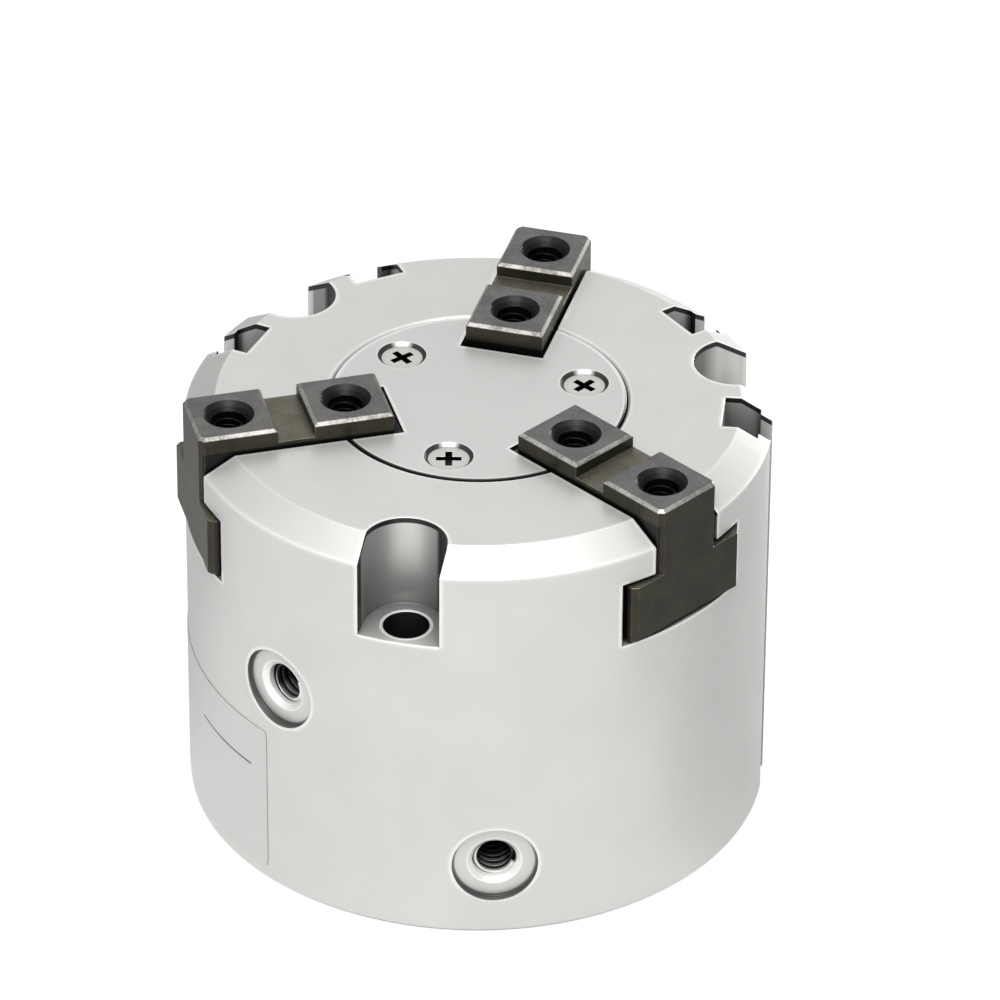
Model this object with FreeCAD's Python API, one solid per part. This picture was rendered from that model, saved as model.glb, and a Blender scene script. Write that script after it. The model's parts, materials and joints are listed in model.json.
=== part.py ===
import FreeCAD, Part
import math
import os

# Three jaw centric gripper, closed, with its bore on the Z axis and its mounting face at z = 0.
# Sizes are in millimetres. Radii and heights are measured from the axis and the mounting face.

# Housing
body_radius = 28.0
body_height = 42.4
top_chamfer_width = 3.0
top_chamfer_drop = 1.85
bottom_chamfer = 0.3
mouth_chamfer = 0.3

# Places of the jaws, notches and ports round the axis, in degrees
jaw_angles = (90.0, 210.0, 330.0)
notch_angles = (270.0, 30.0, 150.0)
groove_notches = (30.0, 150.0)
groove_offset = 20.3

# Jaw travel and the wedge that drives it
jaw_stroke = 4.0
cam_travel = 5.0

# Jaws
neck_width = 7.6
base_width = 14.1
tongue_width = 11.8
shoulder_depth = 4.8
tongue_height = 6.8
neck_inner = 9.2
inner_pad_length = 7.65
outer_pad_length = 7.6
base_inner = 19.4
pad_rise = 2.05
pad_step = 1.4
end_chamfer = 0.5
base_chamfer = 0.3
pad_chamfer = 0.3
inner_hole_inset = 3.8
outer_hole_inset = 3.7
jaw_hole_radius = 1.65
jaw_hole_mouth_radius = 2.45
jaw_hole_depth = 8.6

# Inclined hook of each jaw and the matching slot in the wedge cam
flank_radius = 10.0
hook_lip = 1.3
hook_head = 1.3
hook_neck_width = 4.2
hook_head_width = 6.6
hook_height = 4.7
cam_wing_width = 9.0
cam_height = 9.75
cam_radius = 13.9

# End plate and its screws
plate_radius = 14.1
plate_thickness = 2.6
plate_slot_inner = 8.3
plate_recess_radius = 8.25
plate_recess_depth = 1.0
pocket_chamfer = 0.25
screw_circle_radius = 10.43
screw_radius = 1.25
screw_head_radius = 2.0
screw_sink = 0.3
screw_length = 8.0
screw_turns = (15.0, 62.0, 53.0)
recess_arm_length = 2.4
recess_arm_width = 0.65
recess_depth = 0.55

# Bore, piston rod and the bulkhead that seals them
bore_radius = 16.0
rod_radius = 6.0
cam_pocket_depth = 5.05
bulkhead_height = 5.0
gallery_height = 1.5
gallery_depth = 1.4
ring_groove_depth = 1.4
ring_groove_width = 1.8
bulkhead_groove_rise = 2.2
rod_seal_radius = 8.6
rod_seal_height = 2.2
seal_retainer_height = 1.0
bumper_height = 0.8

# Piston
piston_land_height = 2.9
piston_boss_height = 2.8
piston_boss_radius = 14.0
seal_groove_width = 1.9
seal_groove_depth = 1.9
magnet_height = 1.8
magnet_inner_radius = 12.0
wear_ring_thickness = 1.0
wear_ring_gap = 1.0
magnet_retainer_height = 1.0
magnet_retainer_radius = 15.8
spigot_radius = 3.5
spigot_height = 1.2

# Piston bolt
bolt_radius = 2.5
bolt_head_radius = 4.25
bolt_head_height = 4.8
bolt_engagement = 5.4
washer_height = 1.0
washer_radius = 4.2
bolt_recess_radius = 4.6
bolt_recess_depth = 5.9
hex_across_flats = 4.0
hex_depth = 2.5

# Bottom cap and its retaining ring
cap_radius = 17.0
cap_shoulder_height = 5.5
cap_thickness = 3.35
cap_dish_radius = 9.0
cap_dish_depth = 0.6
cap_groove_rise = 0.85
retaining_groove_depth = 1.0
retaining_ring_width = 2.1
retaining_ring_height = 1.2
retaining_gap_angle = 34.0
lug_radius = 2.0
lug_hole_radius = 0.8

# Bumpers
lower_bumper_inner = 5.5
lower_bumper_outer = 11.0
upper_bumper_inner = 6.6
upper_bumper_outer = 13.0

# Mounting notches and holes
mount_circle_inset = 3.0
mount_hole_radius = 2.2
notch_centre_inset = 2.65
notch_radius = 3.95
notch_depth = 9.6
pin_hole_radius = 1.5
pin_hole_depth = 4.0
pin_hole_inset = 5.0
pin_hole_angle = 90.0

# Grooves for position switches
groove_depth = 4.65
groove_width = 5.0
groove_mouth_width = 3.4
groove_lip = 1.2

# Air ports: angle and height of each
upper_port = (243.0, 23.0)
lower_port = (289.0, 7.8)
port_face_radius = 4.1
port_face_depth = 0.8
port_thread_radius = 2.1
port_mouth_radius = 2.55
port_thread_depth = 6.8
upper_passage_radius = 1.0
upper_passage_drop = 1.7
lower_passage_radius = 1.25

# Clearances
sliding_gap = 0.05
running_gap = 0.05
seal_gap = 0.03
seat_gap = 0.02
neck_side_gap = 0.3
base_side_gap = 0.6
base_top_gap = 0.35
base_bottom_gap = 0.3
rest_gap = 0.2
plate_gap = 0.15
stop_gap = 0.05
hook_bottom_gap = 0.1
thread_end_gap = 0.5
tool_overrun = 5.0

# Radii and widths that follow from the sizes above
jaw_hole_places = (neck_inner + inner_hole_inset, body_radius - outer_hole_inset)
neck_slot_width = neck_width + 2 * neck_side_gap
screw_head_height = screw_head_radius - screw_radius
mount_circle_radius = body_radius - mount_circle_inset
notch_centre_radius = body_radius - notch_centre_inset
pin_hole_place = body_radius - pin_hole_inset
groove_floor = body_radius - groove_depth
groove_lip_radius = body_radius - groove_lip
retaining_groove_radius = cap_radius + retaining_groove_depth
outside = body_radius + tool_overrun

# Heights and angles that follow from the sizes above
wedge_angle = math.atan(jaw_stroke / cam_travel)
shoulder_z = body_height - shoulder_depth
jaw_bottom_z = shoulder_z - tongue_height
slot_lip_z = shoulder_z + sliding_gap
slot_floor_z = jaw_bottom_z - sliding_gap
pad_z = body_height + pad_rise
plate_floor_z = body_height - plate_thickness
pocket_floor_z = slot_floor_z - cam_pocket_depth
bulkhead_floor_z = pocket_floor_z - bulkhead_height
cam_bottom_z = pocket_floor_z + 3 * stop_gap
cam_top_z = cam_bottom_z + cam_height
slot_inner = base_inner - rest_gap
base_top_z = slot_lip_z - base_top_gap
base_bottom_z = slot_floor_z + base_bottom_gap
cap_bottom_z = cap_shoulder_height - cap_thickness
ring_groove_z = cap_bottom_z - retaining_ring_height - stop_gap
piston_bottom_z = cap_shoulder_height + bumper_height + stop_gap
land_bottom_z = piston_bottom_z + piston_boss_height
land_top_z = land_bottom_z + piston_land_height
magnet_top_z = land_top_z + magnet_height
piston_top_z = magnet_top_z + magnet_retainer_height
bolt_seat_z = piston_bottom_z + bolt_recess_depth


def turned(shape, angle):
    """A copy of the shape, turned about the Z axis."""
    copy = shape.copy()
    copy.rotate(FreeCAD.Vector(0, 0, 0), FreeCAD.Vector(0, 0, 1), angle)
    return copy


def cylinder(radius, z_low, z_high, x=0.0, y=0.0):
    """An upright cylinder between two heights."""
    return Part.makeCylinder(radius, z_high - z_low, FreeCAD.Vector(x, y, z_low))


def ring(outer, inner, z_low, z_high):
    """A flat ring about the Z axis."""
    return cylinder(outer, z_low, z_high).cut(cylinder(inner, z_low - 1, z_high + 1))


def revolved(profile):
    """A solid of revolution from points of radius and height."""
    points = [FreeCAD.Vector(r, 0, z) for r, z in profile]
    face = Part.Face(Part.makePolygon(points + points[:1]))
    return face.revolve(FreeCAD.Vector(0, 0, 0), FreeCAD.Vector(0, 0, 1), 360)


def side_prism(profile, width):
    """A solid from points of distance along X and height, as wide along Y as given."""
    points = [FreeCAD.Vector(u, -width / 2, z) for u, z in profile]
    face = Part.Face(Part.makePolygon(points + points[:1]))
    return face.extrude(FreeCAD.Vector(0, width, 0))


def plan_prism(outline, z_low, z_high):
    """A solid from points in plan, between two heights."""
    points = [FreeCAD.Vector(x, y, z_low) for x, y in outline]
    face = Part.Face(Part.makePolygon(points + points[:1]))
    return face.extrude(FreeCAD.Vector(0, 0, z_high - z_low))


def block(u_low, u_high, width, z_low, z_high):
    """A block along X, centred on it, between two heights."""
    size = (u_high - u_low, width, z_high - z_low)
    return Part.makeBox(*size, FreeCAD.Vector(u_low, -width / 2, z_low))


def cone(radius_low, radius_high, z_low, z_high, x=0.0, y=0.0):
    """An upright cone between two heights."""
    return Part.makeCone(radius_low, radius_high, z_high - z_low, FreeCAD.Vector(x, y, z_low))


def spoke(radius, start, end):
    """A cylinder in the XZ plane from one point of distance and height to another."""
    first = FreeCAD.Vector(start[0], 0, start[1])
    run = FreeCAD.Vector(end[0], 0, end[1]) - first
    return Part.makeCylinder(radius, run.Length, first, run)


def polar(radius, angle):
    """X and Y of a point at a radius and an angle."""
    return radius * math.cos(math.radians(angle)), radius * math.sin(math.radians(angle))


def fused(shapes):
    """All shapes as one solid."""
    return shapes[0].multiFuse(shapes[1:]).removeSplitter()


def flank(offset, z):
    """Distance along X of the inclined face, moved outwards by an offset square to it."""
    rise = z - jaw_bottom_z
    return flank_radius + offset / math.cos(wedge_angle) - rise * math.tan(wedge_angle)


def inclined_strip(offset_low, offset_high, width, z_low, z_high):
    """A slab parallel to the inclined face, between two offsets and two heights."""
    profile = [
        (flank(offset_low, z_low), z_low),
        (flank(offset_high, z_low), z_low),
        (flank(offset_high, z_high), z_high),
        (flank(offset_low, z_high), z_high),
    ]
    return side_prism(profile, width)


def bevelled_plan(u_low, u_high, width, bevel):
    """A rectangle in plan with its two outer corners bevelled."""
    half = width / 2
    return [
        (u_low, -half),
        (u_high - bevel, -half),
        (u_high, -half + bevel),
        (u_high, half - bevel),
        (u_high - bevel, half),
        (u_low, half),
    ]


def edges_at(shape, height):
    """The edges of a shape that lie at one height."""
    edges = []
    for edge in shape.Edges:
        box = edge.BoundBox
        if abs(box.ZMin - height) < 1e-6 and abs(box.ZMax - height) < 1e-6:
            edges.append(edge)
    return edges


def tapped_hole(radius, mouth, z_top, depth, x, y=0.0):
    """A blind hole with a countersunk mouth."""
    sink = mouth - radius
    return cylinder(radius, z_top - depth, z_top, x, y).fuse(cone(radius, mouth, z_top - sink, z_top, x, y))


# Housing: a turned blank, then the T-slots, bores, notches, grooves and ports
def t_slots():
    """The three jaw slots, with the space that the wedge cam rises into."""
    cuts = []
    for angle in jaw_angles:
        neck = block(0, outside, neck_slot_width, slot_lip_z - 1, pad_z)
        wide = block(slot_inner, outside, base_width + 2 * base_side_gap, slot_floor_z, slot_lip_z)
        inner_width = tongue_width + 2 * sliding_gap
        inner = block(0, slot_inner, inner_width, slot_floor_z, slot_lip_z)
        rise = block(0, slot_inner, inner_width, slot_lip_z, plate_floor_z)
        rise = rise.common(cylinder(plate_radius + plate_gap, slot_floor_z, pad_z))
        cuts += [turned(piece, angle) for piece in (neck, wide, inner, rise)]
    return cuts


def mounting_cuts():
    """Open notches with through holes, and the locating pin hole in the mounting face."""
    floor_z = body_height - notch_depth
    cuts = []
    for angle in notch_angles:
        notch = cylinder(notch_radius, floor_z, pad_z, notch_centre_radius)
        notch = notch.fuse(block(notch_centre_radius, outside, 2 * notch_radius, floor_z, pad_z))
        hole = cylinder(mount_hole_radius, -1, floor_z + 1, mount_circle_radius)
        cuts += [turned(notch, angle), turned(hole, angle)]
    x, y = polar(pin_hole_place, pin_hole_angle)
    cuts.append(cylinder(pin_hole_radius, -1, pin_hole_depth, x, y))
    return cuts


def switch_grooves():
    """The four grooves for position switches, wide inside and narrow at the mouth."""
    half = [
        (groove_floor, groove_width / 2),
        (groove_lip_radius, groove_width / 2),
        (groove_lip_radius, groove_mouth_width / 2),
        (outside, groove_mouth_width / 2),
    ]
    other_half = [(x, -y) for x, y in reversed(half)]
    groove = plan_prism(half + other_half, -1, pad_z)
    cuts = []
    for notch_angle in groove_notches:
        for side in (-1, 1):
            cuts.append(turned(groove, notch_angle + side * groove_offset))
    return cuts


def port_cut(place, passage_radius, passage_drop):
    """A spot-faced and tapped port, with the passage that joins it to the bore."""
    angle, height = place
    face_x = body_radius - port_face_depth
    end_x = face_x - port_thread_depth
    sink = port_mouth_radius - port_thread_radius
    run = FreeCAD.Vector(1, 0, 0)
    mouth_start = FreeCAD.Vector(face_x - sink, 0, height)
    pieces = [
        spoke(port_face_radius, (face_x, height), (outside, height)),
        spoke(port_thread_radius, (end_x, height), (outside, height)),
        Part.makeCone(port_thread_radius, port_mouth_radius, sink, mouth_start, run),
        spoke(passage_radius, (end_x + 1, height), (bore_radius - 0.8, height - passage_drop)),
    ]
    return turned(fused(pieces), angle)


def bore_cut():
    """The stepped bore: cam pocket, piston bore, cap seat and retaining ring groove."""
    profile = [
        (0, -1),
        (cap_radius + mouth_chamfer + 1, -1),
        (cap_radius, mouth_chamfer),
        (cap_radius, ring_groove_z),
        (retaining_groove_radius, ring_groove_z),
        (retaining_groove_radius, cap_bottom_z),
        (cap_radius, cap_bottom_z),
        (cap_radius, cap_shoulder_height),
        (bore_radius, cap_shoulder_height),
        (bore_radius, pocket_floor_z),
        (cam_radius + rest_gap, pocket_floor_z),
        (cam_radius + rest_gap, slot_floor_z),
        (0, slot_floor_z),
    ]
    return revolved(profile)


def make_body():
    blank = revolved([
        (0, 0),
        (body_radius - bottom_chamfer, 0),
        (body_radius, bottom_chamfer),
        (body_radius, body_height - top_chamfer_drop),
        (body_radius - top_chamfer_width, body_height),
        (0, body_height),
    ])
    pocket_radius = plate_radius + plate_gap
    cuts = [bore_cut(), cylinder(pocket_radius, plate_floor_z, pad_z)]
    edge = pocket_radius + pocket_chamfer
    cuts.append(cone(pocket_radius, edge, body_height - pocket_chamfer, body_height))
    cuts += t_slots() + mounting_cuts() + switch_grooves()
    cuts.append(port_cut(upper_port, upper_passage_radius, upper_passage_drop))
    cuts.append(port_cut(lower_port, lower_passage_radius, 0.0))
    for notch_angle in notch_angles:
        x, y = polar(screw_circle_radius, notch_angle)
        low = body_height - screw_sink - screw_length - thread_end_gap
        cuts.append(cylinder(screw_radius + seat_gap, low, body_height, x, y))
    return blank.cut(cuts).removeSplitter()


# Jaws: an inverted T with two raised pads and an inclined hook at the inner end
def make_jaw():
    neck = plan_prism(bevelled_plan(neck_inner, body_radius, neck_width, end_chamfer), base_top_z - 1, pad_z)
    flat_low = neck_inner + inner_pad_length
    flat_high = body_radius - outer_pad_length
    neck = neck.cut(block(flat_low, flat_high, neck_width + 1, pad_z - pad_step, pad_z + 1))
    neck = neck.makeChamfer(pad_chamfer, edges_at(neck, pad_z))
    outline = bevelled_plan(base_inner, body_radius, base_width, end_chamfer)
    base = plan_prism(outline, base_bottom_z, base_top_z)
    base = base.makeChamfer(base_chamfer, edges_at(base, base_bottom_z))
    tongue = block(0, base_inner + 1, tongue_width, jaw_bottom_z, shoulder_z)
    hook_top_z = jaw_bottom_z + hook_height
    behind = inclined_strip(-outside, sliding_gap, tongue_width + 1, jaw_bottom_z - 1, hook_top_z)
    above = block(-1, flank(sliding_gap, hook_top_z), tongue_width + 1, hook_top_z, shoulder_z + 1)
    tongue = tongue.cut([behind, above])
    hook_neck = inclined_strip(-hook_lip - hook_bottom_gap, 1, hook_neck_width, jaw_bottom_z, hook_top_z)
    head_face = -hook_lip - sliding_gap
    head = inclined_strip(head_face - hook_head, head_face, hook_head_width, jaw_bottom_z, hook_top_z)
    jaw = fused([neck, base, tongue, hook_neck, head])
    holes = []
    for place in jaw_hole_places:
        holes.append(tapped_hole(jaw_hole_radius, jaw_hole_mouth_radius, pad_z, jaw_hole_depth, place))
    return jaw.cut(holes)


# Wedge cam: three wings with inclined T-slots, bolted to the piston rod
def make_cam():
    wings = []
    slots = []
    for angle in jaw_angles:
        profile = [
            (-1, cam_bottom_z),
            (flank(0, cam_bottom_z), cam_bottom_z),
            (flank(0, cam_top_z), cam_top_z),
            (-1, cam_top_z),
        ]
        wings.append(turned(side_prism(profile, cam_wing_width), angle))
        neck_slot = hook_neck_width + 2 * sliding_gap
        head_slot = hook_head_width + 2 * sliding_gap
        low = cam_bottom_z - 1
        high = cam_top_z + 1
        depth = hook_lip + hook_head + sliding_gap + hook_bottom_gap
        slots.append(turned(inclined_strip(-hook_lip - 0.1, 3, neck_slot, low, high), angle))
        slots.append(turned(inclined_strip(-depth, -hook_lip, head_slot, low, high), angle))
    cam = fused(wings).common(cylinder(cam_radius, 0, pad_z))
    recess = spigot_height + seat_gap
    thread_end = cam_bottom_z + bolt_engagement + 2 * thread_end_gap
    slots.append(cylinder(spigot_radius + seat_gap, cam_bottom_z - 1, cam_bottom_z + recess))
    slots.append(cylinder(bolt_radius + seat_gap, cam_bottom_z, thread_end))
    return cam.cut(slots)


def make_end_plate():
    plate = cylinder(plate_radius, plate_floor_z, body_height)
    cuts = [cylinder(plate_recess_radius, plate_floor_z - 1, plate_floor_z + plate_recess_depth)]
    for angle in jaw_angles:
        slot = block(plate_slot_inner, outside, neck_slot_width, plate_floor_z - 1, pad_z)
        cuts.append(turned(slot, angle))
    for angle in notch_angles:
        x, y = polar(screw_circle_radius, angle)
        narrow = screw_radius + 2 * seat_gap
        cuts.append(cylinder(narrow, 0, pad_z, x, y))
        sink_depth = screw_sink + screw_head_height
        cuts.append(cone(narrow, narrow + sink_depth, body_height - sink_depth, body_height, x, y))
    return plate.cut(cuts)


def make_plate_screws():
    """Three countersunk screws with cross recesses, each stopped at its own turn."""
    screws = []
    for angle, turn in zip(notch_angles, screw_turns):
        z = body_height - screw_sink
        head = cone(screw_radius, screw_head_radius, z - screw_head_height, z)
        shank = cylinder(screw_radius, z - screw_length, z - screw_head_height)
        screw = head.fuse(shank).removeSplitter()
        arm = block(-recess_arm_length / 2, recess_arm_length / 2, recess_arm_width, z - recess_depth, z + 1)
        screw = screw.cut([turned(arm, turn), turned(arm, turn + 90)])
        x, y = polar(screw_circle_radius, angle)
        screw.translate(FreeCAD.Vector(x, y, 0))
        screws.append(screw)
    return Part.makeCompound(screws)


# Piston and what is carried on it
def make_piston():
    groove_low = land_bottom_z + (piston_land_height - seal_groove_width) / 2
    groove_high = groove_low + seal_groove_width
    land = bore_radius - running_gap
    groove = land - seal_groove_depth
    piston = revolved([
        (0, piston_bottom_z),
        (piston_boss_radius, piston_bottom_z),
        (piston_boss_radius, land_bottom_z),
        (land, land_bottom_z),
        (land, groove_low),
        (groove, groove_low),
        (groove, groove_high),
        (land, groove_high),
        (land, land_top_z),
        (magnet_inner_radius, land_top_z),
        (magnet_inner_radius, magnet_top_z),
        (rod_radius, magnet_top_z),
        (rod_radius, cam_bottom_z),
        (spigot_radius, cam_bottom_z),
        (spigot_radius, cam_bottom_z + spigot_height),
        (0, cam_bottom_z + spigot_height),
    ])
    recess = cylinder(bolt_recess_radius, piston_bottom_z - 1, bolt_seat_z)
    return piston.cut([recess, cylinder(bolt_radius + 2 * seat_gap, 0, pad_z)])


def make_piston_seal():
    """A lip seal, open towards the rod."""
    low = land_bottom_z + (piston_land_height - seal_groove_width) / 2 + seat_gap
    high = low + seal_groove_width - 2 * seat_gap
    inner = bore_radius - running_gap - seal_groove_depth + seat_gap
    outer = bore_radius - seal_gap
    middle = (inner + outer) / 2
    channel = (outer - inner) / 6
    return revolved([
        (inner, low),
        (outer, low),
        (outer, high),
        (middle, high - channel),
        (inner, high),
    ])


def make_magnet_ring():
    outer = bore_radius - running_gap - wear_ring_thickness - seat_gap
    return ring(outer, magnet_inner_radius + seat_gap, land_top_z, magnet_top_z - seat_gap)


def make_wear_ring():
    outer = bore_radius - running_gap
    whole = ring(outer, outer - wear_ring_thickness, land_top_z, magnet_top_z - seat_gap)
    return whole.cut(block(0, outside, wear_ring_gap, 0, pad_z))


def make_magnet_retainer():
    return ring(magnet_retainer_radius, rod_radius + seat_gap, magnet_top_z, piston_top_z)


def make_piston_bolt():
    """A socket head bolt, head down, from the piston into the cam."""
    head_top = bolt_seat_z - washer_height
    head_low = head_top - bolt_head_height
    head = cylinder(bolt_head_radius, head_low, head_top)
    shank = cylinder(bolt_radius, head_top, cam_bottom_z + bolt_engagement)
    corner = hex_across_flats / math.sqrt(3)
    outline = [polar(corner, 60 * step) for step in range(6)]
    socket = plan_prism(outline, head_low - 1, head_low + hex_depth)
    return head.fuse(shank).removeSplitter().cut(socket)


def make_bolt_washer():
    return ring(washer_radius, bolt_radius + seat_gap, bolt_seat_z - washer_height, bolt_seat_z)


# Bulkhead between the piston bore and the cam pocket, with its seals
def make_bulkhead():
    outer = bore_radius - seat_gap
    gallery = bore_radius - gallery_depth
    groove = bore_radius - ring_groove_depth
    groove_low = bulkhead_floor_z + bulkhead_groove_rise
    groove_high = groove_low + ring_groove_width
    seal_low = pocket_floor_z - seal_retainer_height - rod_seal_height
    return revolved([
        (rod_radius + running_gap, bulkhead_floor_z),
        (gallery, bulkhead_floor_z),
        (gallery, bulkhead_floor_z + gallery_height),
        (outer, bulkhead_floor_z + gallery_height),
        (outer, groove_low),
        (groove, groove_low),
        (groove, groove_high),
        (outer, groove_high),
        (outer, pocket_floor_z),
        (rod_seal_radius, pocket_floor_z),
        (rod_seal_radius, seal_low),
        (rod_radius + running_gap, seal_low),
    ])


def make_rod_seal():
    low = pocket_floor_z - seal_retainer_height - rod_seal_height
    high = pocket_floor_z - seal_retainer_height
    return ring(rod_seal_radius - seat_gap, rod_radius + seal_gap, low, high)


def make_seal_retainer():
    low = pocket_floor_z - seal_retainer_height
    return ring(rod_seal_radius - seat_gap, rod_radius + 4 * running_gap, low, pocket_floor_z)


def seal_ring(groove_radius, wall_radius, middle_z):
    """A static seal, drawn pressed square between its groove and the wall around it."""
    half = (wall_radius - groove_radius) / 2
    return ring(wall_radius - seat_gap, groove_radius + seat_gap, middle_z - half, middle_z + half)


def make_bulkhead_o_ring():
    middle = bulkhead_floor_z + bulkhead_groove_rise + ring_groove_width / 2
    return seal_ring(bore_radius - ring_groove_depth, bore_radius, middle)


# Bottom cap, its seal and its retaining ring
def make_bottom_cap():
    outer = cap_radius - seat_gap
    groove_low = cap_bottom_z + cap_groove_rise
    groove_high = groove_low + ring_groove_width
    groove = cap_radius - ring_groove_depth
    return revolved([
        (0, cap_bottom_z + cap_dish_depth),
        (cap_dish_radius, cap_bottom_z + cap_dish_depth),
        (cap_dish_radius + cap_dish_depth, cap_bottom_z),
        (outer, cap_bottom_z),
        (outer, groove_low),
        (groove, groove_low),
        (groove, groove_high),
        (outer, groove_high),
        (outer, cap_shoulder_height),
        (0, cap_shoulder_height),
    ])


def make_cap_o_ring():
    middle = cap_bottom_z + cap_groove_rise + ring_groove_width / 2
    return seal_ring(cap_radius - ring_groove_depth, cap_radius, middle)


def make_retaining_ring():
    """An internal retaining ring with two plier lugs."""
    low = ring_groove_z + stop_gap / 2
    high = low + retaining_ring_height
    outer = retaining_groove_radius - seat_gap
    inner = outer - retaining_ring_width
    band = ring(outer, inner, low, high)
    half_gap = retaining_gap_angle / 2
    x, y = polar(outside, half_gap)
    band = band.cut(plan_prism([(0, 0), (x, -y), (x, y)], low - 1, high + 1))
    lugs = []
    holes = []
    lug_place = cap_radius - seat_gap - lug_radius
    lug_turn = half_gap + math.degrees(lug_radius / lug_place)
    for side in (-1, 1):
        x, y = polar(lug_place, side * lug_turn)
        lugs.append(cylinder(lug_radius, low, high, x, y))
        holes.append(cylinder(lug_hole_radius, low - 1, high + 1, x, y))
    return turned(fused([band] + lugs).cut(holes), 90)


def make_lower_bumper():
    top = cap_shoulder_height + bumper_height
    return ring(lower_bumper_outer, lower_bumper_inner, cap_shoulder_height, top)


def make_upper_bumper():
    low = bulkhead_floor_z - bumper_height
    return ring(upper_bumper_outer, upper_bumper_inner, low, bulkhead_floor_z)


os.makedirs("parts", exist_ok=True)
jaw = make_jaw()
nodes = {
    "body": make_body(),
    "end_plate": make_end_plate(),
    "end_plate_screws": make_plate_screws(),
    "wedge_cam": make_cam(),
    "piston": make_piston(),
    "piston_seal": make_piston_seal(),
    "magnet_ring": make_magnet_ring(),
    "piston_wear_ring": make_wear_ring(),
    "magnet_retainer": make_magnet_retainer(),
    "piston_bolt": make_piston_bolt(),
    "bolt_washer": make_bolt_washer(),
    "bulkhead": make_bulkhead(),
    "bulkhead_o_ring": make_bulkhead_o_ring(),
    "rod_seal": make_rod_seal(),
    "rod_seal_retainer": make_seal_retainer(),
    "upper_bumper": make_upper_bumper(),
    "lower_bumper": make_lower_bumper(),
    "bottom_cap": make_bottom_cap(),
    "cap_o_ring": make_cap_o_ring(),
    "cap_retaining_ring": make_retaining_ring(),
}
for number, angle in enumerate(jaw_angles, start=1):
    nodes[f"jaw_{number}"] = turned(jaw, angle)
for name, shape in nodes.items():
    shape.exportStep(f"parts/{name}.step")
    print(name, "solids", len(shape.Solids), "volume", round(shape.Volume, 1), "valid", shape.isValid())
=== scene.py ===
import json
import math

import bpy
from mathutils import Matrix, Vector


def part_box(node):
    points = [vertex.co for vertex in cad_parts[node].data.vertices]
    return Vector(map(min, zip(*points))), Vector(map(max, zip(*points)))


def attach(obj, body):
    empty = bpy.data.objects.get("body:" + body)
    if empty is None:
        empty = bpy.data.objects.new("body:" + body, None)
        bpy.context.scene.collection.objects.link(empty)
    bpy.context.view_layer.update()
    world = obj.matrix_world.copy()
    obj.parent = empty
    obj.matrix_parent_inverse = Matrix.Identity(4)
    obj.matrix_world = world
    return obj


# Three jaw centric gripper: anodised housing, dark steel jaws, threads, label film, light and camera.
# Sizes are in millimetres, like the part's, and MM turns them into the scene's metres.
MM = 0.001

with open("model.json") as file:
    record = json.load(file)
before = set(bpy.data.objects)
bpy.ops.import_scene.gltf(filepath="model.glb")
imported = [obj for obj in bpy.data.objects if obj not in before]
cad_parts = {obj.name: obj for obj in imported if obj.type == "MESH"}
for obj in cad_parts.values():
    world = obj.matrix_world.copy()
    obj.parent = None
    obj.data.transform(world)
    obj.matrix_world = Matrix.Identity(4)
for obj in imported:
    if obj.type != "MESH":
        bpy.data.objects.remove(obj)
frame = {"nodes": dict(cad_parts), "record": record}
nodes = frame["nodes"]
mounts = {mount["name"]: mount for mount in frame["record"]["mounts"]}
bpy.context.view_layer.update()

# Label film on the left of the housing, with angles in degrees, and its rule line
label_start = 190.0
label_end = 240.2
label_bottom = 1.5
label_top = 17.3
label_corner = 1.6
label_lift = 0.02
label_thickness = 0.05
rule_start = 216.5
rule_end = 235.5
rule_height = 12.5
rule_width = 0.16
rule_thickness = 0.01
strip_sides = 720

# Screw threads: pitch and height of the ridge
jaw_thread_pitch = 0.7
port_thread_pitch = 0.8
ridge_share = 0.36
thread_sink = 0.02
thread_steps = 48

# Camera, found from the photograph
camera_focal = 274.12
camera_distance = 729.745
camera_azimuth = 15.142
camera_elevation = 33.864
camera_roll = 0.373
camera_target = (2.047, 0.554, 30.687)
camera_sensor = 36.0
camera_near = 10.0

# Light of the world and glow of the floor, then the dimmer sides: azimuth from the camera, half width, share
world_level = 0.36
floor_glow = 0.75
dim_sides = ((98.0, 52.0, 0.65), (-138.0, 52.0, 0.65))
floor_radius = 6.0

# Lamps: azimuth from the camera, elevation, distance and size in metres, power
lamps = {
    "overhead": (0.0, 80.0, 0.5, 0.3, 0.75),
    "key": (-4.0, 51.0, 0.35, 0.15, 0.62),
    "rim": (138.0, 3.0, 0.6, 0.1, 1.9),
}
lamp_target = (0, 0, 0.02)

# Places that the finishes shade: reach from a hole's axis, distance from the middle, or height
notch_angles = (270.0, 30.0, 150.0)
notch_reach = 4.4
notch_bottom = 31.0
notch_shade_low = 35.5
notch_shade_high = 39.3
port_reach = 4.2
port_mouth = 26.75
screw_circle = 10.43
screw_head_reach = 2.42
cross_reach = 1.5
cross_bottom = 1.3
cross_top = 0.36
jaw_cone_reach = 2.42
jaw_bore_reach = 2.0
rim_width = 3.0
rim_drop = 1.85
skin_depth = 0.1

hole_radius = mounts["mounting_holes"]["dims"]["hole_r_mm"]
hole_circle = mounts["mounting_holes"]["dims"]["pcd_mm"] / 2
port_radius = mounts["opening_port"]["dims"]["r_mm"]
low_corner, high_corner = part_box("body")
body_radius = (high_corner[0] - low_corner[0]) / 2 / MM
body_height = high_corner[2] / MM
plate_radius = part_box("end_plate")[1][0] / MM
pad_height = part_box("jaw_1")[1][2] / MM


# Directions, and axes as a point in metres and a direction
def outwards(azimuth, elevation=0.0):
    """Away from the middle, at an azimuth from the front and an elevation in degrees."""
    turn = math.radians(azimuth)
    rise = math.radians(elevation)
    return Vector((math.sin(turn) * math.cos(rise), -math.cos(turn) * math.cos(rise), math.sin(rise)))


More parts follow.
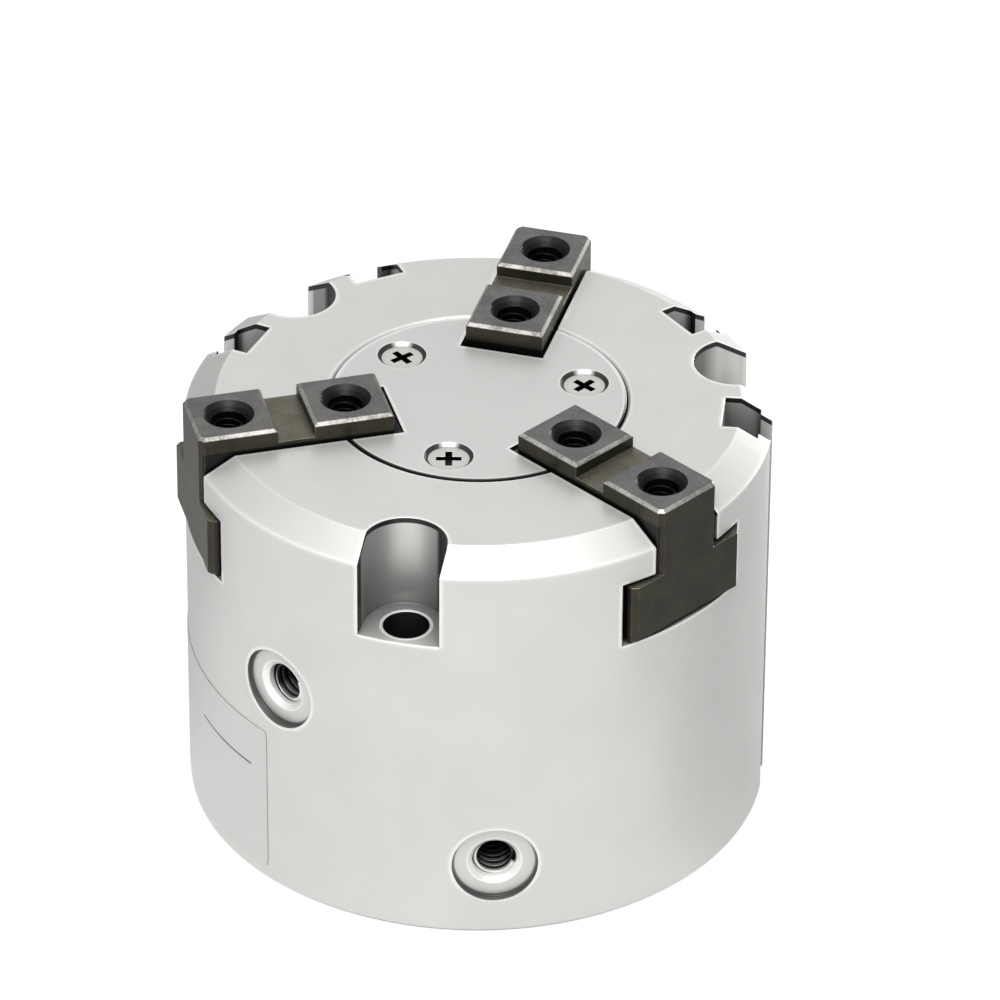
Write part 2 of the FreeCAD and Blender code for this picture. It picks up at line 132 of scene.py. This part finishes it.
def upright_axes(radius):
    """The upright axes on a circle, one at the angle of each notch."""
    turns = [math.radians(angle) for angle in notch_angles]
    return [((radius * MM * math.cos(turn), radius * MM * math.sin(turn), 0), (0, 0, 1)) for turn in turns]


frontwards = outwards(camera_azimuth)
rightwards = (-frontwards[1], frontwards[0], 0)
middle_axes = [((0, 0, 0), (0, 0, 1))]
hole_axes = upright_axes(hole_circle)
screw_axes = upright_axes(screw_circle)
jaw_hole_axes = [(mount["pos_m"], mount["axis"]) for name, mount in mounts.items() if name.startswith("jaw")]
port_axes = [(mount["pos_m"], mount["axis"]) for name, mount in mounts.items() if name.endswith("port")]


# Tools for modelling
def deselect():
    """Nothing selected, in object mode."""
    if bpy.context.mode != "OBJECT":
        bpy.ops.object.mode_set(mode="OBJECT")
    bpy.ops.object.select_all(action="DESELECT")


def pick(piece):
    """One piece selected and active, in object mode."""
    deselect()
    bpy.context.view_layer.objects.active = piece
    piece.select_set(True)


def edit(piece):
    """Edit mode on one piece, with nothing selected in it."""
    pick(piece)
    bpy.ops.object.mode_set(mode="EDIT")
    bpy.ops.mesh.select_all(action="DESELECT")


def select_vertices(piece, test):
    """In edit mode, selects the vertices whose place, in millimetres, passes the test."""
    bpy.ops.object.mode_set(mode="OBJECT")
    for vertex in piece.data.vertices:
        vertex.select = test(vertex.co / MM)
    bpy.ops.object.mode_set(mode="EDIT")
    bpy.ops.mesh.select_mode(type="VERT")


def put(piece, matrix):
    """Writes a place into the piece's mesh and leaves its object at the origin."""
    pick(piece)
    piece.matrix_world = matrix @ piece.matrix_world
    bpy.ops.object.transform_apply(location=True, rotation=True, scale=True)


def apply_modifiers(piece):
    pick(piece)
    for modifier in list(piece.modifiers):
        bpy.ops.object.modifier_apply(modifier=modifier.name)


def close_up(piece):
    """Merges doubles, closes open ends and points the faces outwards."""
    edit(piece)
    bpy.ops.mesh.select_all(action="SELECT")
    bpy.ops.mesh.remove_doubles(threshold=1e-7)
    bpy.ops.mesh.fill_holes(sides=0)
    bpy.ops.mesh.select_all(action="SELECT")
    bpy.ops.mesh.normals_make_consistent(inside=False)
    bpy.ops.object.mode_set(mode="OBJECT")


def smooth(piece, degrees):
    pick(piece)
    bpy.ops.object.shade_smooth_by_angle(angle=math.radians(degrees))


def turned_along(axis):
    """The turn that takes the Z axis to a direction."""
    return Vector((0, 0, 1)).rotation_difference(Vector(axis)).to_matrix().to_4x4()


# Tools for materials
class Graph:
    """Short ways to add and join the nodes of a material or of the world."""

    def __init__(self, tree):
        self.tree = tree

    def add(self, kind, **settings):
        node = self.tree.nodes.new("ShaderNode" + kind)
        for key, value in settings.items():
            setattr(node, key, value)
        return node

    def feed(self, target, value):
        """A number, a colour or another node's output into a socket."""
        if isinstance(value, bpy.types.NodeSocket):
            self.tree.links.new(value, target)
        else:
            target.default_value = value

    def math(self, operation, first, second=0.0):
        node = self.add("Math", operation=operation)
        self.feed(node.inputs[0], first)
        self.feed(node.inputs[1], second)
        return node.outputs["Value"]

    def product(self, *values):
        result = values[0]
        for value in values[1:]:
            result = self.math("MULTIPLY", result, value)
        return result

    def either(self, first, second):
        """The larger of two masks."""
        return self.math("MAXIMUM", first, second)

    def inverse(self, mask):
        return self.math("SUBTRACT", 1.0, mask)

    def ranged(self, value, low, high, out_low=0.0, out_high=1.0):
        """A value carried from one range over to another, and held at its ends."""
        node = self.add("MapRange")
        limits = {"Value": value, "From Min": low, "From Max": high, "To Min": out_low, "To Max": out_high}
        for name, limit in limits.items():
            self.feed(node.inputs[name], limit)
        return node.outputs["Result"]

    def vectors(self, operation, first, second):
        """A node for two vectors."""
        node = self.add("VectorMath", operation=operation)
        self.feed(node.inputs[0], first)
        self.feed(node.inputs[1], second)
        return node

    def along(self, vector, direction):
        """The part of a vector that points in a direction."""
        return self.vectors("DOT_PRODUCT", vector, direction).outputs["Value"]


class Finish(Graph):
    """A material with one shader, drawn on the object's own coordinates."""

    def __init__(self, name):
        self.material = bpy.data.materials.new(name)
        self.material.use_nodes = True
        super().__init__(self.material.node_tree)
        self.shader = self.tree.nodes["Principled BSDF"]
        self.place = self.add("TexCoord").outputs["Object"]
        self.normal = self.add("NewGeometry").outputs["Normal"]

    def noise(self, scale, detail, roughness=0.5):
        """Noise with so many features to the metre, from 0 to 1."""
        texture = self.add("TexNoise")
        settings = {"Vector": self.place, "Scale": scale, "Detail": detail, "Roughness": roughness}
        for name, value in settings.items():
            self.feed(texture.inputs[name], value)
        return texture.outputs["Fac"]

    def over(self, distance, start, end, low=0.0, high=1.0):
        """From low to high while a distance in metres goes from a start to an end in millimetres."""
        return self.ranged(distance, start * MM, end * MM, low, high)

    def within(self, distance, reach, blur=0.05):
        """1 where a distance in metres is under a reach in millimetres."""
        return self.over(distance, reach + blur, reach)

    def lowered(self, mask, level):
        """1 outside a mask and a lower level inside it."""
        return self.ranged(mask, 0, 1, 1, level)

    def mixed(self, factor, first, second):
        """One colour going over into another."""
        node = self.add("Mix", data_type="RGBA")
        for number, value in ((0, factor), (6, first), (7, second)):
            self.feed(node.inputs[number], value)
        return node.outputs[2]

    def scaled(self, shade, level):
        """A colour made lighter or darker."""
        node = self.add("VectorMath", operation="SCALE")
        self.feed(node.inputs[0], shade)
        self.feed(node.inputs["Scale"], level)
        return node.outputs["Vector"]

    def rounded(self, radius):
        """The surface normal with its edges rounded by a radius in millimetres."""
        node = self.add("Bevel", samples=6)
        node.inputs["Radius"].default_value = radius * MM
        return node.outputs["Normal"]

    def edges(self, rounded_normal, low=0.02, high=0.3):
        """1 along edges, 0 on flat and gently curved places."""
        return self.ranged(self.inverse(self.along(rounded_normal, self.normal)), low, high)

    def openness(self, reach, own_only=False):
        """1 where the surface lies open, lower in corners and gaps within a reach in millimetres."""
        node = self.add("AmbientOcclusion", samples=6, only_local=own_only)
        node.inputs["Distance"].default_value = reach * MM
        return node.outputs["AO"]

    def height_of(self, vector):
        """The Z part of a vector."""
        parts = self.add("SeparateXYZ")
        self.feed(parts.inputs["Vector"], vector)
        return parts.outputs["Z"]

    def from_axes(self, axes):
        """Distance in metres to the nearest of some axes."""
        nearest = 1.0
        for point, direction in axes:
            away = self.vectors("SUBTRACT", self.place, point).outputs["Vector"]
            across = self.vectors("CROSS_PRODUCT", away, direction).outputs["Vector"]
            length = self.vectors("LENGTH", across, (0, 0, 0)).outputs["Value"]
            nearest = self.math("MINIMUM", length, nearest)
        return nearest

    def bump(self, height, depth, strength, normal):
        """Relief from a 0 to 1 height, as deep as given in millimetres."""
        node = self.add("Bump")
        settings = {"Strength": strength, "Distance": depth * MM, "Height": height, "Normal": normal}
        for name, value in settings.items():
            self.feed(node.inputs[name], value)
        return node.outputs["Normal"]

    def dress(self, shade, metallic, roughness, normal=None):
        """Gives the shader its colour, share of metal, roughness and normal."""
        self.feed(self.shader.inputs["Base Color"], shade)
        self.feed(self.shader.inputs["Metallic"], metallic)
        self.feed(self.shader.inputs["Roughness"], roughness)
        if normal:
            self.feed(self.shader.inputs["Normal"], normal)
        return self.material


class HousingFinish(Finish):
    """Measures and masks that tell the places of the housing apart."""

    def __init__(self, name):
        super().__init__(name)
        self.deep_place = self.openness(8.0, own_only=True)
        self.facing = self.height_of(self.normal)
        self.height = self.height_of(self.place)
        self.to_right = self.along(self.normal, rightwards)
        self.sideways = self.math("ABSOLUTE", self.to_right)
        self.in_front = self.along(self.place, frontwards)
        self.from_middle = self.from_axes(middle_axes)
        self.from_hole = self.from_axes(hole_axes)
        # The ports' axes run on through the back of the housing, which counts as far away
        self.from_port = self.math("ADD", self.from_axes(port_axes), self.over(self.in_front, 1, 0))
        self.wall = self.ranged(self.facing, 0.5, 0.3)
        self.behind_skin = self.within(self.from_middle, body_radius - skin_depth)
        self.upper_wall = self.product(self.wall, self.behind_skin,
                                       self.over(self.height, notch_bottom, notch_bottom + 1))
        self.notch_wall = self.product(self.upper_wall, self.within(self.from_hole, notch_reach))
        self.mouth = self.over(self.from_middle, port_mouth - 0.5, port_mouth - 0.4)

    def painted_hollow_shade(self):
        """Painted shade on the walls of the notches, darker low down, where the walls turn sideways and most on
        such walls at the back, and on the walls round the ports' spot faces.
        """
        turned_away = self.product(self.ranged(self.sideways, 0.4, 0.75), self.over(self.in_front, 5, 0))
        notch_level = self.product(self.over(self.height, notch_shade_low, notch_shade_high, 0.92, 1.1),
                                   self.ranged(self.sideways, 0.3, 0.85, 1, 0.66),
                                   self.lowered(turned_away, 0.5))
        in_notch = self.math("ADD", self.product(self.notch_wall, notch_level), self.inverse(self.notch_wall))
        port_wall = self.product(self.behind_skin, self.within(self.from_port, port_reach),
                                 self.over(self.from_port, port_reach - 0.45, port_reach - 0.3))
        return self.product(in_notch, self.lowered(port_wall, 0.3))

    def painted_edge_highlights(self):
        """Painted highlights along the open outer edges."""
        exposed = self.product(self.ranged(self.openness(0.9, own_only=True), 0.55, 0.9),
                               self.ranged(self.deep_place, 0.8, 0.95), self.over(self.height, 3, 6))
        return self.product(self.edges(self.rounded(0.9), 0.04, 0.09), exposed, 0.9)

    def painted_rim_shade(self):
        """Painted shade: a dark line inside the top rims of the hollows, and down the sides of their mouths."""
        past_top = self.math("SUBTRACT", self.from_middle, (body_radius - rim_width) * MM)
        drop = self.math("MULTIPLY", self.math("MAXIMUM", 0.0, past_top), rim_drop / rim_width)
        below_top = self.math("SUBTRACT", body_height * MM, self.math("ADD", self.height, drop))
        by_mouth = self.either(self.over(self.from_middle, body_radius - 1.4, body_radius - 1.2),
                               self.product(self.notch_wall, self.ranged(self.to_right, 0, -0.1)))
        by_skin = self.product(self.ranged(self.sideways, 0.72, 0.8), by_mouth)
        return self.product(self.upper_wall, 0.97, self.either(self.within(below_top, 0.5, 0.1), by_skin))

    def painted_bore_shade(self):
        """Painted shade down the bores of the mounting holes and of the ports, lifted by a painted highlight on
        the up-facing wall low in the ports.
        """
        in_port = self.product(self.within(self.from_port, port_radius + 0.05), self.inverse(self.mouth))
        in_hole = self.product(self.wall, self.within(self.from_hole, hole_radius + 0.05))
        painted_sheen = self.product(self.ranged(self.facing, 0.55, 0.85), in_port,
                             self.over(self.from_middle, port_mouth - 3.2, port_mouth - 2.2))
        return self.product(self.either(in_port, in_hole), self.ranged(painted_sheen, 0, 1, 0.9, 0.25))

    def painted_mouth_highlights(self):
        """Painted highlights: bright rings round the mouths of the mounting holes and ports."""
        hole_ring = self.product(self.ranged(self.facing, 0.8, 0.9),
                                 self.within(self.from_hole, hole_radius + 0.3), 0.85)
        port_ring = self.product(self.within(self.from_port, port_radius + 0.5), self.mouth, 0.85)
        return self.either(hole_ring, port_ring)

    def painted_gap_shade(self):
        """Painted shade in the joint round the front of the end plate, and in the gaps round its screw heads."""
        plate_edge = self.product(self.over(self.in_front, -3, 3),
                                  self.over(self.from_middle, plate_radius - 0.2, plate_radius - 0.15),
                                  self.within(self.from_middle, plate_radius + 0.1))
        head_gap = self.product(self.within(self.from_axes(screw_axes), screw_head_reach),
                                self.ranged(self.facing, 0.9, 0.8), self.ranged(self.sideways, 0.15, 0.35))
        return self.product(self.either(plate_edge, head_gap), 0.95)


def colour(red, green, blue):
    return (red, green, blue, 1.0)


def grey(level):
    return colour(level, level, level)


def shaded(base, share):
    """A base colour made lighter or darker, up to white."""
    return colour(*(min(1.0, share * part) for part in base[:3]))


# Black and near black stand for painted shade, and near white for painted highlights
black = grey(0.004)
painted_shade_black = grey(0.008)
painted_highlight_white = colour(0.98, 0.98, 0.96)


# Finishes
def anodised(name, base, turning_pitch):
    """Clear anodised aluminium: satin, with fine turning marks, painted highlights along edges and round mouths,
    and painted shade in hollows, corners, bores and gaps.
    """
    finish = HousingFinish(name)
    fine = finish.noise(5200.0, 3.0)
    broad = finish.noise(140.0, 2.0)
    # Random tone, times the painted shade on the walls of the notches and round the ports
    level = finish.product(finish.ranged(broad, 0.3, 0.7, 0.975, 1.02),
                           finish.ranged(fine, 0.2, 0.8, 0.985, 1.01), finish.painted_hollow_shade())
    shade = finish.scaled(base[:3], level)
    # Painted highlights on the edges and round the mouths; painted shade along the rims, in corners, deep in the
    # hollows, down the bores and in the gaps
    shade = finish.mixed(finish.painted_edge_highlights(), shade, painted_highlight_white)
    shade = finish.mixed(finish.painted_rim_shade(), shade, painted_shade_black)
    shade = finish.mixed(finish.ranged(finish.openness(0.9), 0.0, 0.6), colour(0.02, 0.02, 0.019), shade)
    shade = finish.mixed(finish.ranged(finish.deep_place, 0.05, 0.7), painted_shade_black, shade)
    shade = finish.mixed(finish.painted_bore_shade(), shade, painted_shade_black)
    shade = finish.mixed(finish.painted_mouth_highlights(), shade, painted_highlight_white)
    shade = finish.mixed(finish.painted_gap_shade(), shade, grey(0.01))
    rings = finish.add("TexWave", wave_type="RINGS", rings_direction="Z")
    rings_to_scale = 20.0
    settings = {"Vector": finish.place, "Scale": 1.0 / (turning_pitch * MM) / rings_to_scale, "Distortion": 0.4}
    for socket, value in settings.items():
        finish.feed(rings.inputs[socket], value)
    relief = finish.math("ADD", fine, finish.product(rings.outputs["Fac"], 0.25))
    normal = finish.bump(relief, 0.004, 0.5, finish.rounded(0.2))
    return finish.dress(shade, 0.55, finish.ranged(fine, 0.2, 0.8, 0.38, 0.47), normal)


def treated_steel(name, pad_base, top_base, side_base):
    """Hardened steel with a dark treatment and ground pads; its edges are bright from wear and a painted
    highlight, with painted shade in its holes, slot and corners.
    """
    finish = Finish(name)
    normal = finish.rounded(0.14)
    near_place = finish.openness(0.8)
    grain = finish.noise(3600.0, 4.0, 0.6)
    cloud = finish.noise(420.0, 3.0)
    facing = finish.height_of(finish.normal)
    height = finish.height_of(finish.place)
    to_right = finish.along(finish.normal, rightwards)
    from_hole = finish.from_axes(jaw_hole_axes)
    on_pad = finish.over(height, pad_height - 0.4, pad_height - 0.25)
    # Painted shadow on the jaw's sides where they lie down in the housing's slot
    in_slot = finish.product(finish.ranged(facing, 0.5, 0.3), finish.within(height, body_height + 0.25),
                             finish.within(finish.from_axes(middle_axes), body_radius - skin_depth), 0.9)
    shade = finish.mixed(on_pad, top_base, pad_base)
    shade = finish.mixed(finish.ranged(facing, 0.8, 0.95), side_base, shade)
    # Painted shade in the countersinks and bores of the tapped holes
    shade = finish.mixed(finish.within(from_hole, jaw_cone_reach), shade, grey(0.014))
    shade = finish.mixed(finish.within(from_hole, jaw_bore_reach), shade, black)
    shade = finish.mixed(in_slot, shade, black)
    mottle = finish.math("ADD", finish.ranged(cloud, 0.35, 0.65, 0.84, 1.14),
                         finish.ranged(grain, 0.35, 0.65, -0.2, 0.2))
    shade = finish.scaled(shade, mottle)
    # Bright edges: wear, and a painted highlight that is weaker on faces turned to the right
    sloping = finish.product(finish.ranged(facing, 0.45, 0.65), finish.ranged(facing, 0.9, 0.75))
    chamfer = finish.product(sloping, on_pad, finish.over(from_hole, 2.5, 2.6),
                             finish.ranged(to_right, 0.55, 0.65, 1.0, 0.2))
    edge = finish.product(finish.edges(normal), finish.over(from_hole, 2.2, 2.4, 0.1, 0.75),
                          finish.ranged(to_right, 0.55, 0.65, 1.0, 0.3))
    patchy = finish.ranged(finish.math("ADD", grain, cloud), 0.8, 1.15, 0.35, 1.0)
    wear_and_highlight = finish.product(finish.either(chamfer, edge),
                          finish.product(patchy, finish.ranged(near_place, 0.5, 0.9)))
    shade = finish.mixed(wear_and_highlight, shade, colour(0.44, 0.43, 0.4))
    # Painted shade in corners and gaps, and black deep in the hollows
    shade = finish.mixed(finish.ranged(near_place, 0.1, 0.6), colour(0.006, 0.006, 0.005), shade)
    shade = finish.mixed(finish.ranged(finish.openness(3.5), 0.05, 0.45), black, shade)
    relief = finish.bump(grain, 0.003, 0.4, normal)
    return finish.dress(shade, 0.7, finish.ranged(grain, 0.3, 0.7, 0.38, 0.5), relief)


def plain_metal(name, base, roughness):
    """Bare or plated metal with a fine grain, painted highlights along its edges, and painted shade in corners
    and in the cross recesses of the screws.
    """
    finish = Finish(name)
    normal = finish.rounded(0.08)
    grain = finish.noise(2400.0, 3.0)
    height = finish.height_of(finish.place)
    # Painted shade in the cross recesses of the screw heads
    recess = finish.product(finish.within(height, body_height - cross_top, 0.02),
                            finish.within(finish.from_axes(screw_axes), cross_reach),
                            finish.over(height, body_height - cross_bottom, body_height - cross_bottom + 0.1))
    shade = finish.mixed(finish.ranged(grain, 0.3, 0.7), shaded(base, 0.92), base)
    # Painted highlight along the edges, and painted shade in corners
    shade = finish.mixed(finish.product(finish.edges(normal), 0.5), shade, colour(0.9, 0.9, 0.88))
    shade = finish.mixed(finish.ranged(finish.openness(0.8), 0.45, 0.9), black, shade)
    shade = finish.mixed(recess, shade, grey(0.003))
    relief = finish.bump(grain, 0.003, 0.4, normal)
    return finish.dress(shade, 0.9, finish.ranged(grain, 0.3, 0.7, roughness - 0.05, roughness + 0.05), relief)


def moulded(name, base, roughness):
    """Rubber or plastic with a faint mould texture."""
    finish = Finish(name)
    grain = finish.noise(1800.0, 2.0)
    shade = finish.mixed(grain, base, shaded(base, 1.3))
    relief = finish.bump(grain, 0.01, 0.4, finish.rounded(0.1))
    return finish.dress(shade, 0.0, finish.ranged(grain, 0.3, 0.7, roughness - 0.06, roughness + 0.06), relief)


def film(name, base, border):
    """Printed silver film, with a darker cut edge."""
    finish = Finish(name)
    grain = finish.noise(4000.0, 2.0)
    shade = finish.mixed(finish.ranged(grain, 0.3, 0.7), base, shaded(base, 0.97))
    shade = finish.mixed(finish.product(finish.edges(finish.rounded(0.07), 0.01, 0.12), 0.12), shade, border)
    return finish.dress(shade, 0.5, finish.ranged(grain, 0.3, 0.7, 0.38, 0.45))


finishes = {
    "anodised_body": anodised("anodised_body", colour(0.66, 0.66, 0.64), 0.12),
    "anodised_plate": anodised("anodised_plate", colour(0.645, 0.63, 0.615), 0.1),
    "screw_steel": plain_metal("screw_steel", colour(0.66, 0.66, 0.63), 0.3),
    "jaw_steel": treated_steel("jaw_steel", colour(0.14, 0.138, 0.132), colour(0.13, 0.125, 0.092),
                               colour(0.033, 0.0305, 0.019)),
    "cam_steel": plain_metal("cam_steel", colour(0.36, 0.36, 0.35), 0.35),
    "bolt_steel": plain_metal("bolt_steel", colour(0.05, 0.05, 0.05), 0.4),
    "ring_steel": plain_metal("ring_steel", colour(0.1, 0.095, 0.085), 0.5),
    "piston_aluminium": plain_metal("piston_aluminium", colour(0.62, 0.6, 0.5), 0.38),
    "seal_rubber": moulded("seal_rubber", colour(0.02, 0.02, 0.02), 0.55),
    "bumper_rubber": moulded("bumper_rubber", colour(0.05, 0.05, 0.055), 0.5),
    "magnet": moulded("magnet", colour(0.04, 0.04, 0.04), 0.6),
    "wear_plastic": moulded("wear_plastic", colour(0.6, 0.58, 0.5), 0.5),
}
label_silver = film("label_silver", colour(0.655, 0.655, 0.642), colour(0.3, 0.3, 0.3))
label_ink = film("label_ink", colour(0.05, 0.09, 0.07), colour(0.05, 0.09, 0.07))


# Pieces
def finish_nodes():
    """Every CAD node takes the finish that its slot names."""
    for entry in frame["record"]["subparts"]:
        for place in nodes[entry["node"]].material_slots:
            place.material = finishes[entry["material_slot"]]


def thread(name, mount, pitch, body, finish):
    """The ridge of a screw thread on the wall of a tapped hole, as a helix of triangular section."""
    radius = mount["dims"]["r_mm"]
    length = mount["dims"]["length_mm"]
    ridge = ridge_share * pitch
    turns = int((length - pitch) / pitch)
    deselect()
    bpy.ops.mesh.primitive_circle_add(vertices=3, radius=ridge * MM, fill_type="NOTHING")
    piece = bpy.context.object
    piece.name = name
    upright = Matrix.Rotation(math.radians(90.0), 4, "X")
    point_inwards = Matrix.Rotation(math.radians(90.0), 4, "Y")
    put(piece, point_inwards @ upright)
    reach = max(vertex.co.x for vertex in piece.data.vertices)
    put(piece, Matrix.Translation(((radius + thread_sink) * MM - reach, 0, 0)))
    screw = piece.modifiers.new("helix", "SCREW")
    screw.axis = "Z"
    screw.steps = thread_steps
    screw.render_steps = thread_steps
    screw.screw_offset = pitch * MM
    screw.iterations = turns
    apply_modifiers(piece)
    close_up(piece)
    start = Matrix.Translation((0, 0, (length / 2 - ridge - turns * pitch) * MM))
    place = Matrix.Translation(mount["pos_m"]) @ turned_along(mount["axis"])
    put(piece, place @ start)
    piece.data.materials.append(finishes[finish])
    smooth(piece, 60.0)
    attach(piece, body)


def make_threads():
    for name, mount in mounts.items():
        if mount["kind"] != "threaded_hole":
            continue
        if name.startswith("jaw"):
            thread(name + "_ridge", mount, jaw_thread_pitch, name[:5], "jaw_steel")
        else:
            thread(name + "_ridge", mount, port_thread_pitch, "housing", "anodised_body")


def wrapped_strip(name, start, end, bottom, top, lift, thickness, corner, finish):
    """A thin strip round the housing, cut from a tube, with its corners rounded."""
    deselect()
    bpy.ops.mesh.primitive_cylinder_add(vertices=strip_sides, radius=(body_radius + lift) * MM,
                                        depth=(top - bottom) * MM, end_fill_type="NOTHING")
    piece = bpy.context.object
    piece.name = name
    put(piece, Matrix.Translation((0, 0, (bottom + top) / 2 * MM)))
    edit(piece)
    for angle, turn in ((start, -90.0), (end, 90.0)):
        across = math.radians(angle + turn)
        bpy.ops.mesh.select_all(action="SELECT")
        bpy.ops.mesh.bisect(plane_co=(0, 0, 0), plane_no=(math.cos(across), math.sin(across), 0),
                            clear_outer=True)
    if corner:
        ends = [math.radians(start), math.radians(end)]

        def at_corner(place):
            angle = math.atan2(place.y, place.x) % (2 * math.pi)
            return min(abs(angle - side) for side in ends) < 1e-4

        select_vertices(piece, at_corner)
        bpy.ops.mesh.bevel(offset=corner * MM, segments=8, affect="VERTICES")
    bpy.ops.object.mode_set(mode="OBJECT")
    shell = piece.modifiers.new("thickness", "SOLIDIFY")
    shell.thickness = thickness * MM
    shell.offset = 1.0
    apply_modifiers(piece)
    close_up(piece)
    piece.data.materials.append(finish)
    smooth(piece, 35.0)
    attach(piece, "housing")


def make_label():
    """The bare label: a film and its rule line."""
    wrapped_strip("label_film", label_start, label_end, label_bottom, label_top,
                  label_lift, label_thickness, label_corner, label_silver)
    wrapped_strip("label_rule", rule_start, rule_end, rule_height - rule_width / 2, rule_height + rule_width / 2,
                  label_lift + label_thickness, rule_thickness, 0.0, label_ink)


# Stage
def seen_or_mirrored(graph):
    """1 for rays from the camera, from a mirroring surface or through glass."""
    path = graph.add("LightPath")
    seen = path.outputs["Is Camera Ray"]
    for kind in ("Is Glossy Ray", "Is Transmission Ray"):
        seen = graph.either(seen, path.outputs[kind])
    return seen


def dimmed_sides(graph, direction, strength):
    """A strength that falls towards the dimmer sides of the room, but not in what the camera sees."""
    from_camera = graph.add("LightPath").outputs["Is Camera Ray"]
    for azimuth, width, share in dim_sides:
        towards = graph.along(direction, outwards(camera_azimuth + azimuth))
        border = math.cos(math.radians(width))
        core = math.cos(math.radians(width / 3))
        kept = graph.ranged(towards, border, core, 1.0, 1.0 - share)
        strength = graph.product(strength, graph.either(kept, from_camera))
    return strength


def make_floor():
    """A pale floor that keeps the object's shadow and can be looked through from below."""
    deselect()
    bpy.ops.mesh.primitive_circle_add(vertices=96, radius=floor_radius, fill_type="NGON")
    floor = bpy.context.object
    floor.name = "floor"
    finish = Finish("pale_floor")
    finish.dress(grey(0.5), 0.0, 0.9)
    finish.feed(finish.shader.inputs["Emission Color"], grey(1))
    direction = finish.add("VectorMath", operation="NORMALIZE")
    finish.feed(direction.inputs[0], finish.place)
    glow = finish.product(seen_or_mirrored(finish), floor_glow)
    finish.feed(finish.shader.inputs["Emission Strength"],
                dimmed_sides(finish, direction.outputs["Vector"], glow))
    sides = finish.add("MixShader")
    finish.feed(sides.inputs["Fac"], finish.add("NewGeometry").outputs["Backfacing"])
    finish.feed(sides.inputs[1], finish.shader.outputs["BSDF"])
    finish.feed(sides.inputs[2], finish.add("BsdfTransparent").outputs["BSDF"])
    finish.feed(finish.tree.nodes["Material Output"].inputs["Surface"], sides.outputs["Shader"])
    floor.data.materials.append(finish.material)


def make_world():
    """Even white light, weaker where neither the camera nor a mirroring surface sees it."""
    world = bpy.data.worlds.new("studio")
    bpy.context.scene.world = world
    world.use_nodes = True
    graph = Graph(world.node_tree)
    background = graph.tree.nodes["Background"]
    graph.feed(background.inputs["Color"], grey(1))
    direction = graph.add("TexCoord").outputs["Generated"]
    level = graph.ranged(seen_or_mirrored(graph), 0.0, 1.0, world_level, 1.0)
    graph.feed(background.inputs["Strength"], dimmed_sides(graph, direction, level))


def make_lamps():
    """Square soft lights aimed at the object's middle."""
    for name, (azimuth, elevation, distance, size, power) in lamps.items():
        deselect()
        bpy.ops.object.light_add(type="AREA")
        light = bpy.context.object
        light.name = name
        light.data.shape = "SQUARE"
        light.data.size = size
        light.data.energy = power
        away = outwards(camera_azimuth + azimuth, elevation)
        place = Matrix.Translation(Vector(lamp_target) + away * distance)
        light.matrix_world = place @ away.to_track_quat("Z", "Y").to_matrix().to_4x4()


def make_camera():
    """The camera of the photograph, rolled a little."""
    bpy.ops.object.camera_add()
    camera = bpy.context.object
    camera.name = "photo_camera"
    camera.data.lens = camera_focal
    camera.data.sensor_width = camera_sensor
    camera.data.clip_start = camera_near * MM
    away = outwards(camera_azimuth, camera_elevation)
    forward = -away
    right = forward.cross(Vector((0, 0, 1))).normalized()
    up = right.cross(forward)
    roll = math.radians(camera_roll)
    right_rolled = math.cos(roll) * right + math.sin(roll) * up
    up_rolled = -math.sin(roll) * right + math.cos(roll) * up
    turned = Matrix((right_rolled, up_rolled, away)).transposed().to_4x4()
    place = (Vector(camera_target) + camera_distance * away) * MM
    camera.matrix_world = Matrix.Translation(place) @ turned
    bpy.context.scene.camera = camera


finish_nodes()
make_threads()
make_label()
make_floor()
make_world()
make_lamps()
make_camera()
bpy.context.scene.view_settings.view_transform = "Standard"
